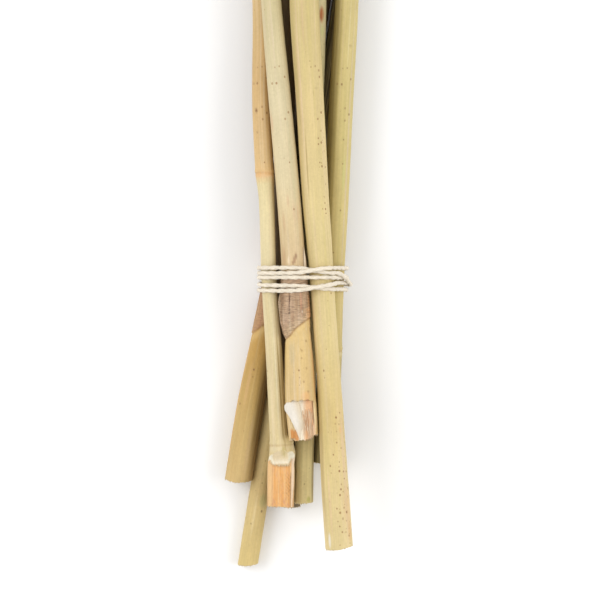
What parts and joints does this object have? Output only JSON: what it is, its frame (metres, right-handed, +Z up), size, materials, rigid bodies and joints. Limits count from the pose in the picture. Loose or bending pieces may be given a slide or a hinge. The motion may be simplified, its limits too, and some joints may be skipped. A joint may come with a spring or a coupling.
{
  "type": "bunch of reeds",
  "caption": "Bunch of dry cut reed stems of unequal length and thickness, tied near the lower ends with wound cotton string and lying on its side.",
  "frame": {"origin": "on the surface the bunch lies on, under the middle of its bounding box", "axes": "+Y along the bunch towards the upper ends of the reeds, +Z up from the surface, +X to the right seen from above"},
  "size_m": [0.0777, 0.401, 0.0353],
  "materials": {
    "slim_reed": "dry reed bark, satin",
    "sheathed_reed": "dry reed bark, matt, with a papery sheath",
    "thick_reed": "dry reed bark, satin, with brown freckles",
    "right_reed": "dry reed bark, satin",
    "left_reed": "dry reed bark, satin, with a papery sheath",
    "long_reed": "dry reed bark, satin",
    "olive_reed": "dry reed bark, satin",
    "back_reed": "dry reed bark, matt",
    "string": "two-ply undyed cotton string, matt"
  },
  "bodies": {
    "root": {"slim_reed": "slim_reed", "sheathed_reed": "sheathed_reed", "thick_reed": "thick_reed", "right_reed": "right_reed", "left_reed": "left_reed", "long_reed": "long_reed", "olive_reed": "olive_reed", "back_reed": "back_reed", "string": "string"}
  },
  "joints": []
}
